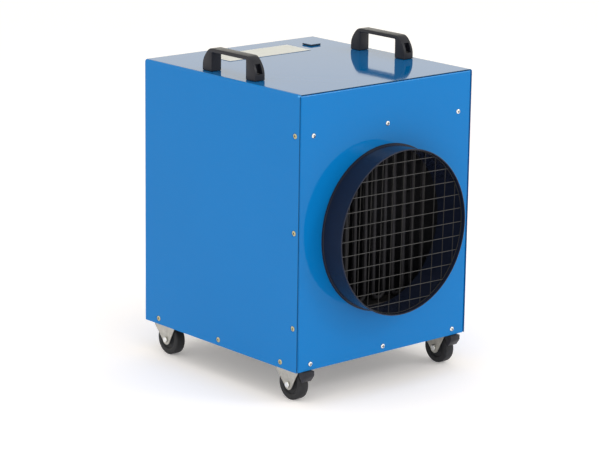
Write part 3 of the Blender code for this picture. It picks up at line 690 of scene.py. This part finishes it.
def handle(node):
    low, high, middle = extent(node)
    outer = (high.y - low.y) / 2
    inner = HANDLE_OPENING / 2
    under = high.z - low.z - HANDLE_BAR
    shoulder = eased([(outer + y * MM, z * MM) for y, z in HANDLE_SHOULDER])
    arch = eased([(0, under), (inner - 5 * MM, under), (inner, under), (inner, under - 5 * MM), (inner, 0)])
    outline = shoulder + [(-y, z) for y, z in reversed(shoulder)]
    outline += [(-y, z) for y, z in reversed(arch)] + arch[1:]
    pockets = []
    for end in (-1, 1):
        height = low.z + POCKET_FLOOR + POCKET_SIZE[2] / 2
        pockets.append(block(POCKET_SIZE, (middle.x, middle.y + end * (outer - 5 * MM), height)))
    centre = (middle.x, middle.y, low.z)
    mesh = slab(outline, high.x - low.x, centre, bevel=1.6 * MM, segments=3, holes=pockets)
    piece(node + "_bridge", mesh, black_plastic, "cabinet", "black_plastic", node)


black_plastic = plastic("black_plastic", (0.0125, 0.0135, 0.021), 0.42)
handle("handle_left")
handle("handle_right")

# Casters: four light swivel casters of zinc plated pressed steel, each a bolted top plate, a ball
# race, a fork of two tapered cheeks and a solid rubber wheel on a bolt. The front two have brakes.

WHEEL_BORE = 4.3 * MM
AXLE_R = 4 * MM
AXLE_HEAD = 3.5 * MM
CHEEK = 2 * MM
CHEEK_IN = 12 * MM
BOSS_R = 10.5 * MM
PEDAL_TOE = [(-56.5, 60.6), (-56.5, 52), (-54.5, 48.5), (-48.5, 40)]
PEDAL_HEEL = [(-46.5, 42.5), (-41.5, 50.5), (-38, 55), (-30, 57.2), (-30, 60.6)]
CORNERS = ("front_left", "front_right", "rear_left", "rear_right")


def joined(*meshes):
    """Several meshes as one."""
    work = bmesh.new()
    for mesh in meshes:
        work.from_mesh(mesh)
    return as_mesh(work)


def from_end(end, *points):
    """Profile points at radii and distances in millimetres, measured along the axis from one end."""
    return [(radius * MM, end + along * MM) for radius, along in points]


def rounded(half_x, half_y, radius):
    """The outline of a rectangle with round corners."""
    outline = []
    for turn, (x, y) in enumerate([(1, 1), (-1, 1), (-1, -1), (1, -1)]):
        corner = (x * (half_x - radius), y * (half_y - radius))
        outline += curl(corner, radius, 90 * turn, 90 * turn + 90, 6)
    return outline


def rubber():
    """Solid rubber: matt, greyed with dust on the tread."""
    tyre = Finish("tread_rubber", (0.016, 0.017, 0.021), 0.62, IOR=1.36)
    dust = tyre.noise(140, 4).ramp(0.4, 0.75)
    tyre.shade(dust * 0.7 + tyre.noise(25, 3) * 0.3 + 0.75)
    tyre.bump(tyre.noise(900, 3), 0.08 * MM, 0.5)
    tyre.set("Roughness", dust * 0.15 + 0.55)
    return tyre.material


def wheel(corner):
    low, high, centre = extent("caster_wheel_" + corner)
    radius = (high.z - low.z) / 2
    half = (high.x - low.x) / 2
    side = [(WHEEL_BORE, half)]
    side += from_end(half, (9, 0), (10, -0.6), (11, -3), (18, -3), (19.5, -0.4), (20.5, 0))
    side += curl((radius - 3.2 * MM, half - 3.2 * MM), 3.2 * MM, 90, 12, 5)
    profile = side + [(radius, 0)] + [(r, -along) for r, along in reversed(side)]
    piece("wheel_" + corner, spun(profile, centre, "X", 72, 40), tread_rubber, "wheel_" + corner,
          "tread_rubber", "caster_wheel_" + corner)


def fork(corner):
    x, y, _ = extent("caster_plate_" + corner)[2]
    axle = extent("caster_wheel_" + corner)[2]
    fork_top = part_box("caster_fork_" + corner)[1].z
    crown = 61.3 * MM
    profile = from_end(crown, (0, 0), (20.2, 0), (21, 0.8), (21, 2.2), (20.4, 2.7), (18.5, 2.7), (17, 4.2))
    profile += from_end(fork_top, (17, -2.5), (16.3, -0.8), (14.5, 0), (0, 0))
    parts = [spun(profile, (x, y, 0), "Z", 48, 35)]
    top = crown + 0.3 * MM
    lean = axle.y - y
    outline = [(-39 * MM, top), (-39 * MM, top - 6 * MM)]
    outline += curl((lean, axle.z), BOSS_R, 205, 345, 12)
    outline += [(21 * MM, top - 8 * MM), (21 * MM, top)]
    for side in (-1, 1):
        spot = (x + side * (CHEEK_IN + CHEEK / 2), y, 0)
        hole = rod(WHEEL_BORE, 4 * CHEEK, (spot[0], axle.y, axle.z), "X", 32)
        parts.append(slab(outline, CHEEK, spot, "X", 0.5 * MM, 2, [hole]))
        face = x + side * (CHEEK_IN + CHEEK)
        ring = [(WHEEL_BORE, 0), (6.9 * MM, 0), (6.7 * MM, side * 0.25 * MM), (WHEEL_BORE, side * 0.25 * MM)]
        parts.append(spun(ring, (face, axle.y, axle.z), "X", 36))
    piece("fork_" + corner, joined(*parts), zinc_plate, "swivel_" + corner, "zinc_plate",
          "caster_fork_" + corner)
    bolt(corner)


def bolt(corner):
    low, high, centre = extent("caster_bolt_" + corner)
    half = (high.x - low.x) / 2
    shank = half - AXLE_HEAD
    wide = (high.z - low.z) / 2
    seat = shank + 0.25 * MM
    head = [(0, half), (wide * 0.8, half), (wide, half - 0.9 * MM), (wide, seat), (0, seat)]
    nut = [(r, -along) for r, along in head]
    core = [(0, -half + MM), (AXLE_R, -half + MM), (AXLE_R, half - MM), (0, half - MM)]
    parts = [spun(head, centre, "X", 6), spun(nut, centre, "X", 6), spun(core, centre, "X", 32)]
    piece("axle_bolt_" + corner, joined(*parts), axle_steel, "swivel_" + corner, "bright_steel",
          "caster_bolt_" + corner)


def top_plate(corner):
    low, high, centre = extent("caster_plate_" + corner)
    thick = 2.5 * MM
    outline = rounded((high.x - low.x) / 2, (high.y - low.y) / 2, 5 * MM)
    plate = slab(outline, thick, (centre.x, centre.y, high.z - thick / 2), "Z", 0.4 * MM)
    under = high.z - thick + 0.3 * MM
    cup = from_end(low.z, (0, 0), (18, 0), (19, 1)) + from_end(under, (19, -2), (19, 0), (0, 0))
    race = spun(cup, (centre.x, centre.y, 0), "Z", 48, 35)
    piece("top_plate_" + corner, joined(plate, race), zinc_plate, "cabinet", "zinc_plate",
          "caster_plate_" + corner)


def pedal(corner):
    low, high, middle = extent("brake_pedal_" + corner)
    y = extent("caster_plate_" + corner)[2].y
    grip = []
    for groove in range(4):
        start = -55.5 + 2.4 * groove
        grip += [(start, 60.6), (start + 0.3, 59.9), (start + 1.1, 59.9), (start + 1.4, 60.6)]
    outline = [(py * MM, pz * MM) for py, pz in (*PEDAL_TOE, *PEDAL_HEEL, *reversed(grip))]
    mesh = slab(outline, high.x - low.x, (middle.x, y, 0), "X", 0.25 * MM)
    piece("brake_" + corner, mesh, black_plastic, "brake_" + corner, "black_plastic",
          "brake_pedal_" + corner)


def plated_steel(name, colour, roughness):
    """Bright plated steel: fine turning lines, a few dull spots, and painted shade in recesses."""
    bright = Finish(name, colour, roughness, 1.0)
    spots = bright.noise(600, 4).ramp(0.55, 0.75)
    # Painted shade: ambient occlusion darkens the colour in recesses and between parts.
    recess_shade = bright.node("ShaderNodeAmbientOcclusion", {"Distance": 2 * MM}, out="AO")
    bright.shade((spots * -0.35 + bright.noise(60, 2) * 0.2 + 0.95) * recess_shade ** 2)
    bright.set("Roughness", spots * 0.25 + roughness)
    bright.bump(bright.noise(2500, 2), 0.02 * MM, 0.4)
    return bright.material


tread_rubber = rubber()
zinc_plate = zinc_sheet("zinc_plate", (0.46, 0.45, 0.42), 0.4, 420)
axle_steel = plated_steel("axle_steel", (0.75, 0.76, 0.77), 0.22)
for corner in CORNERS:
    top_plate(corner)
    fork(corner)
    wheel(corner)
for corner in CORNERS[:2]:
    pedal(corner)

# Fasteners: cross recessed pan heads of bright plated steel in the front and rear, brassy passivated
# ones set in pressed dimples down the sides, and screws up through the caster plates.

SCREW_R = 4.6 * MM
SCREW_H = 2 * MM
FACING = {"front": (math.pi / 2, 0, 0), "rear": (-math.pi / 2, 0, 0), "left": (0, -math.pi / 2, 0)}
FACING.update(right=(0, math.pi / 2, 0), up=(0, 0, 0), down=(math.pi, 0, 0))


def screw_recipe():
    screw = Recipe("recessed_screws")
    radius = screw.size("Head Radius")
    height = screw.size("Head Height")
    recess = screw.size("Recess")
    ball = screw.node("GeometryNodeMeshUVSphere", {"Segments": 28, "Rings": 14, "Radius": 1.0})
    ball = screw.move(ball, scale=screw.vector(radius, radius, height))
    slot = screw.vector(radius * 1.2, radius * 0.34, recess)
    bar = screw.move(screw.node("GeometryNodeMeshCube", {"Size": slot}), screw.vector(0, 0, height))
    other = screw.move(bar, turn=(0, 0, math.pi / 2))
    lower = screw.node("GeometryNodeMeshCube", {"Size": (0.1, 0.1, 0.1)})
    lower = screw.move(lower, (0, 0, -0.05))
    cut = screw.tree.nodes.new("GeometryNodeMeshBoolean")
    cut.operation = "DIFFERENCE"
    screw.tree.links.new(ball.socket, cut.inputs["Mesh 1"])
    for tool in (bar, other, lower):
        screw.tree.links.new(tool.socket, cut.inputs["Mesh 2"])
    head = Term(screw, cut.outputs["Mesh"])
    sockets = {"Points": screw.points(), "Instance": head, "Rotation": screw.size("Facing", "Vector")}
    heads = screw.node("GeometryNodeInstanceOnPoints", sockets)
    seed = screw.size("Seed", "Int")
    twist = screw.node(
        "FunctionNodeRandomValue",
        {0: (0, 0, 0), 1: (0.06, 0.06, 2 * math.pi), "Seed": seed},
        data_type="FLOAT_VECTOR",
    )
    sockets = {"Instances": heads, "Rotation": twist, "Local Space": True}
    screw.close(screw.node("GeometryNodeRotateInstances", sockets))
    return screw


def screws(name, places, facing, finish, seed, radius=SCREW_R, height=SCREW_H):
    mesh = screw_maker.cook(
        finish,
        places,
        Head_Radius=radius,
        Head_Height=height,
        Recess=height * 1.1,
        Facing=FACING[facing],
        Seed=seed,
    )
    piece(name, mesh, finish, "cabinet", "bright_steel")


screw_maker = screw_recipe()
bright_steel = plated_steel("bright_steel", (0.8, 0.82, 0.84), 0.2)
brassy_steel = plated_steel("passivated_steel", (0.55, 0.5, 0.3), 0.3)
black_steel = plated_steel("black_oxide_steel", (0.05, 0.05, 0.052), 0.35)
for name, y, upper, seed in (("front", FRONT, 491, 3), ("rear", -FRONT, 555, 5)):
    rows = [(x * MM, y, z * MM) for z in (upper, 73.5) for x in (-177, 0, 177)]
    screws(name + "_screws", rows, name, bright_steel, seed)
for side, name in ((-1, "left"), (1, "right")):
    spots = [(side * (BOX_HIGH.x - DIMPLE_DEPTH), y * MM, z * MM) for y, z in SIDE_SCREWS]
    screws(name + "_screws", spots, name, brassy_steel, 8, 5 * MM, 0.95 * MM)
pockets = []
for node in ("handle_left", "handle_right"):
    low, high, middle = extent(node)
    for y in (low.y + 6.5 * MM, high.y - 6.5 * MM):
        pockets.append((middle.x, y, low.z + POCKET_FLOOR))
screws("handle_screws", pockets, "up", black_steel, 11, 4 * MM, 2.4 * MM)
plates = []
for corner in CORNERS:
    low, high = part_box("caster_plate_" + corner)
    for x in (low.x + 5 * MM, high.x - 5 * MM):
        for y in (low.y + 6 * MM, high.y - 6 * MM):
            plates.append((x, y, high.z - 2.5 * MM))
screws("caster_plate_screws", plates, "down", bright_steel, 13, 3.6 * MM, 2.2 * MM)

# Fan: a galvanised intake shroud pressed to a bell mouth, a cross bracket spot welded to its front,
# a finned motor and a five-blade moulded impeller on the motor's shaft, with a ring guard outside.

BLADES = 5
BLADE_ROWS = 13
BLADE_COLUMNS = 9
FAN_TIP_R = 138 * MM
FINS = 28
RING_PITCH = 26 * MM
RINGS = 6


def impeller():
    low, high, middle = extent("impeller")
    centre = Vector((0, middle.y, AIR_Z))
    half = (high.y - low.y) / 2
    profile = from_end(-half, (6.3, 0), (42, 0))
    profile += from_end(half, (42, -3), (41, -1), (39, 0), (14, 0), (13, -4), (6.3, -4))
    parts = [spun(profile, centre, "Y", 64)]
    root = 39 * MM
    for blade in range(BLADES):
        work = bmesh.new()
        grid = []
        for row in range(BLADE_ROWS):
            along = row / (BLADE_ROWS - 1)
            radius = root + (FAN_TIP_R - root) * along
            chord = (40 + 34 * along) * MM
            pitch = math.radians(48 - 22 * along)
            for column in range(BLADE_COLUMNS):
                across = (column / (BLADE_COLUMNS - 1) - 0.5) * chord
                camber = 5 * MM * (1 - (2 * across / chord) ** 2)
                swing = across * math.cos(pitch) / radius + 2 * math.pi * blade / BLADES
                depth = across * math.sin(pitch) * 0.72 + camber * math.cos(pitch)
                spot = centre + Vector((radius * math.sin(swing), depth, radius * math.cos(swing)))
                grid.append(work.verts.new(spot))
        for row in range(BLADE_ROWS - 1):
            for column in range(BLADE_COLUMNS - 1):
                i = row * BLADE_COLUMNS + column
                j = i + BLADE_COLUMNS
                work.faces.new((grid[i], grid[i + 1], grid[j + 1], grid[j]))
        sheet = finished(work)
        shell = {"thickness": 1.9 * MM, "offset": 0, "use_even_offset": True}
        parts.append(applied(sheet, ("SOLIDIFY", shell)))
    piece("fan_impeller", smoothed(joined(*parts), 40), grey_plastic, "fan", "grey_plastic", "impeller")


def round_row_recipe():
    """Bars set round an axis along Y: cooling fins, grip flutes or dial marks."""
    row = Recipe("bars_round_an_axis")
    count = row.size("Count", "Int")
    place = row.vector(0, row.size("Along"), row.size("Radius"))
    bar = row.move(row.node("GeometryNodeMeshCube", {"Size": row.size("Bar", "Vector")}), place)
    spots = row.node("GeometryNodePoints", {"Count": count})
    index = row.node("GeometryNodeInputIndex")
    turn = row.vector(0, index * row.size("Step"), 0)
    sockets = {"Points": spots, "Instance": bar, "Rotation": turn}
    bars = row.node("GeometryNodeInstanceOnPoints", sockets)
    row.close(row.move(bars, row.size("Centre", "Vector")))
    return row


def motor():
    low, high, middle = extent("motor_body")
    centre = (0, 0, AIR_Z)
    profile = from_end(high.y, (0, 0), (40.5, 0), (42.5, -2))
    profile += from_end(low.y, (42.5, 14), (41.5, 11), (34, 2), (31, 0), (0, 0))
    body = spun(profile, centre, "Y", 64)
    fins = round_row.cook(
        motor_paint,
        Count=FINS,
        Radius=43.7 * MM,
        Along=middle.y + 5 * MM,
        Bar=(1.6 * MM, high.y - low.y - 22 * MM, 4.4 * MM),
        Step=2 * math.pi / FINS,
        Centre=centre,
    )
    piece("finned_motor", joined(body, fins), motor_paint, "cabinet", "motor_paint", "motor_body")


def ring_guard_recipe():
    guard = Recipe("ring_guard")
    outer = guard.size("Outer Radius")
    pitch = guard.size("Pitch")
    wire = guard.size("Wire Radius")
    spokes = guard.size("Spokes", "Int")
    index = guard.node("GeometryNodeInputIndex")
    hoops = guard.node("GeometryNodePoints", {"Count": guard.size("Rings", "Int")})
    hoop = guard.node("GeometryNodeCurvePrimitiveCircle", {"Radius": 1.0, "Resolution": 96})
    across = outer - index * pitch
    sockets = {"Points": hoops, "Instance": hoop, "Scale": guard.vector(across, across, 1)}
    rings = guard.node("GeometryNodeInstanceOnPoints", sockets)
    rings = guard.tube(guard.node("GeometryNodeRealizeInstances", {0: rings}), wire)
    sockets = {"Start": (0, 0, 0), "End": guard.vector(outer, 0, 0)}
    line = guard.node("GeometryNodeCurvePrimitiveLine", sockets)
    spots = guard.node("GeometryNodePoints", {"Count": spokes})
    turn = guard.vector(0, 0, index * (2 * math.pi) / spokes)
    arms = guard.node("GeometryNodeInstanceOnPoints", {"Points": spots, "Instance": line, "Rotation": turn})
    arms = guard.tube(guard.node("GeometryNodeRealizeInstances", {0: arms}), wire)
    whole = guard.join(rings, guard.move(arms, guard.vector(0, 0, wire * 0.6)))
    guard.close(guard.move(whole, guard.size("Centre", "Vector"), (math.pi / 2, 0, 0)))
    return guard


def intake_guard():
    _, high, middle = extent("intake_guard")
    mesh = ring_guard_recipe().cook(
        guard_wire,
        Outer_Radius=high.x - GUARD_WIRE_R,
        Pitch=RING_PITCH,
        Wire_Radius=GUARD_WIRE_R,
        Spokes=6,
        Rings=RINGS,
        Centre=(0, middle.y + 0.3 * MM, AIR_Z),
    )
    piece("intake_ring_guard", mesh, guard_wire, "cabinet", "plated_wire", "intake_guard")
    reach = high.x + 2.4 * MM
    angles = [math.radians(60 * i + 30) for i in range(6)]
    spots = [(reach * math.cos(a), -FRONT, AIR_Z + reach * math.sin(a)) for a in angles]
    screws("intake_screws", spots, "rear", bright_steel, 21, 4.2 * MM, 2 * MM)


grey_plastic = plastic("grey_plastic", (0.2, 0.205, 0.21), 0.5)
motor_paint = gloss_paint("motor_paint", (0.035, 0.036, 0.04))
round_row = round_row_recipe()
impeller()
motor()
intake_guard()
redress("fan_shroud", galvanised)
redress("motor_bracket", zinc_plate)
redress("motor_shaft", bright_steel)

# Heater: two galvanised rails across the outlet and six sheathed hairpin elements between them. The
# sheaths have gone dark brown with heat, and each leg passes through a brass nut in the top rail.

ELEMENT_R = 4.2 * MM


def sheath():
    """Oxidised steel sheath, streaked along its length."""
    tube = Finish("element_sheath", (0.022, 0.022, 0.027), 0.5, 0.3, IOR=1.3)
    streaks = tube.noise(150, 4, (1, 1, 0.15))
    tube.shade(streaks * 0.9 + 0.55)
    tube.set("Roughness", tube.noise(200, 3) * 0.3 + 0.35)
    tube.bump(streaks, 0.05 * MM, 0.4)
    return tube.material


def path_recipe():
    """A tube along each run of edges."""
    path = Recipe("tube_on_a_path")
    curve = path.node("GeometryNodeMeshToCurve", {0: path.points()})
    path.close(path.tube(curve, path.size("Radius"), 14))
    return path


def elements():
    names = [f"heating_element_{i + 1}" for i in range(6)]
    nut = from_end(0, (0, 0), (7, 0), (7, -4), (0, -4))
    places, edges = [], []
    nuts = []
    for name in names:
        low, high, centre = extent(name)
        bend = (high.x - low.x) / 2 - ELEMENT_R
        bottom = low.z + ELEMENT_R + bend
        run = [(centre.x - bend, high.z)]
        run += [(centre.x + x, bottom + z) for x, z in curl((0, 0), bend, 180, 360, 17)]
        run.append((centre.x + bend, high.z))
        edges += [(len(places) + i, len(places) + i + 1) for i in range(len(run) - 1)]
        places += [(x, centre.y, z) for x, z in run]
        for x in (centre.x - bend, centre.x + bend):
            nuts.append(spun(nut, (x, centre.y, high.z), "Z", 6))
    mesh = path_recipe().cook(element_sheath, places, edges, Radius=ELEMENT_R)
    piece("hairpin_elements", mesh, element_sheath, "cabinet", "element_sheath", *names)
    piece("element_nuts", joined(*nuts), brassy_steel, "cabinet", None)


element_sheath = sheath()
elements()
browned = zinc_sheet("heat_browned_zinc", (0.05, 0.048, 0.05), 0.5, 160)
for node in ("heater_rail_top", "heater_rail_bottom"):
    redress(node, browned)

# Control gear on the shelf and the black control plate on the rear: a selector, a thermostat, a
# reset button in a turned bezel and two lamps. Dial marks are printed; nothing is lettered.

TICK_R = 26 * MM
FLUTES = 24


def lens(name, colour):
    """Clear coloured plastic over a dim lamp."""
    cap = Finish(name, colour, 0.15, Coat_Weight=0.5, Coat_Roughness=0.05)
    cap.shade(cap.noise(300, 2) * 0.2 + 0.9)
    cap.bump(cap.noise(900, 2), 0.05 * MM, 0.3)
    return cap.material


def printed():
    ink = Finish("white_ink", (0.7, 0.7, 0.68), 0.5)
    ink.shade(ink.noise(700, 3) * 0.15 + 0.9)
    return ink.material


def dial(name, sweep, marks):
    low, high, centre = extent(name + "_knob")
    centre.y = 0
    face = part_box("control_plate")[1].y
    step = math.radians(sweep / (marks - 1))
    ticks = round_row.cook(
        white_ink,
        Count=marks,
        Radius=TICK_R,
        Along=face + 0.04 * MM,
        Bar=(0.8 * MM, 0.1 * MM, 4 * MM),
        Step=step,
        Centre=centre,
    )
    piece(name + "_marks", ticks, white_ink, "cabinet", None)
    front = high.y
    profile = from_end(low.y, (0, 0), (3, 0))
    profile += from_end(face, (3, 0.5), (20, 0.5), (20, 2.6), (19.4, 3.2), (17.2, 4))
    profile += from_end(front, (16.4, -6.5), (15.6, -5.6), (14.5, -5), (0, -5))
    flutes = round_row.cook(
        black_plastic,
        Count=FLUTES,
        Radius=16.4 * MM,
        Along=face + 8.6 * MM,
        Bar=(1.5 * MM, 8.6 * MM, 1.8 * MM),
        Step=2 * math.pi / FLUTES,
        Centre=centre,
    )
    grip = rounded(3 * MM, 15 * MM, 1.5 * MM)
    ridge = slab(grip, 6 * MM, (centre[0], front - 3 * MM, centre[2]), "Y", 0.8 * MM)
    knob = joined(spun(profile, centre, "Y", 48), flutes, ridge)
    piece(name + "_dial", knob, black_plastic, name, "black_plastic", name + "_knob")
    line = block((1 * MM, 0.1 * MM, 9 * MM), (centre[0], front - 0.03 * MM, centre[2] + 9 * MM))
    piece(name + "_pointer", line, white_ink, name, None)


white_ink = printed()
dial("selector", 135, 4)
dial("thermostat", 270, 10)
red_plastic = plastic("red_plastic", (0.5, 0.016, 0.012), 0.35)
redress("control_plate", black_plastic)
for node in ("selector_switch", "thermostat_switch", "contactor", "terminal_block"):
    redress(node, grey_plastic)
redress("overheat_thermostat", black_plastic)
redress("reset_bezel", bright_steel)
redress("reset_button", red_plastic)
redress("lamp_power", lens("amber_lens", (0.8, 0.28, 0.02)))
redress("lamp_heat", lens("green_lens", (0.03, 0.45, 0.09)))
low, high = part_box("control_plate")
edge = 8 * MM
spots = [(x, high.y, z) for x in (low.x + edge, high.x - edge) for z in (low.z + edge, high.z - edge)]
screws("control_screws", spots, "rear", bright_steel, 31, 3 * MM, 1.7 * MM)

# Power inlet: a five-pin appliance inlet in red moulded plastic, with a sprung lid on a cross pin.
# The pins are turned brass. The cord is separate, so none is fitted.

PIN_RING = 13 * MM
PINS = 5


def inlet():
    low, high, centre = extent("inlet_pins")
    centre.y = 0
    radius = (high.x - low.x) / 2
    base = low.y + 3 * MM
    profile = [(0, low.y), (radius, low.y), (radius, base - 0.4 * MM), (radius - 0.4 * MM, base), (0, base)]
    disc = spun(profile, centre, "Y", 48)
    piece("inlet_base", disc, black_plastic, "cabinet", "black_plastic", "inlet_pins")
    pins = []
    for i in range(PINS):
        angle = 2 * math.pi * i / PINS
        spot = centre + Vector((math.sin(angle), 0, math.cos(angle))) * PIN_RING
        width = (3 if i == 0 else 2.4) * MM
        shape = [(0, base), (width, base), (width, high.y - MM), (width - 0.8 * MM, high.y), (0, high.y)]
        pins.append(spun(shape, spot, "Y", 20))
    piece("inlet_brass_pins", joined(*pins), brass, "cabinet", None)
    low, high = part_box("inlet_housing")
    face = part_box("control_plate")[1].y + 3.3 * MM
    edge = 6 * MM
    z_spots = (low.z + edge, low.z + 60 * MM - edge)
    spots = [(x, face, z) for x in (low.x + edge, high.x - edge) for z in z_spots]
    screws("inlet_screws", spots, "rear", bright_steel, 41, 2.6 * MM, 1.5 * MM)


brass = plated_steel("brass", (0.72, 0.5, 0.2), 0.25)
inlet()
redress("inlet_housing", red_plastic)
redress("inlet_lid", red_plastic)

# Top fittings: a blank rating label on matt white film, and a square plastic plug pressed into the
# spare hole in the cover. The plug's flat top was sprayed over with the cover and has the same
# painted shade as the cover's top.


def label_film():
    film = Finish("blank_label", (0.56, 0.57, 0.56), 0.42)
    film.shade(film.noise(40, 4) * 0.12 + 0.92)
    film.set("Roughness", film.noise(200, 3) * 0.15 + 0.35)
    return film.material


def plug_paint():
    plug = Finish("gloss_plug", (0.045, 0.06, 0.085), 0.06, IOR=1.25)
    top_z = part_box("top_plug")[1].z
    top = plug.axes()[2].ramp(top_z - 0.3 * MM, top_z - 0.1 * MM)
    # Painted shade: the plug's top takes the cover top's darker tone.
    plug.colour = plug.mix(plug.colour, (*TOP_PAINTED_SHADE, 1), top)
    plug.shade(plug.noise(60, 3) * 0.2 + 0.9)
    plug.bump(plug.noise(420, 3), 0.01 * MM, 0.3)
    return plug.material


redress("blank_label", label_film())
redress("top_plug", plug_paint())
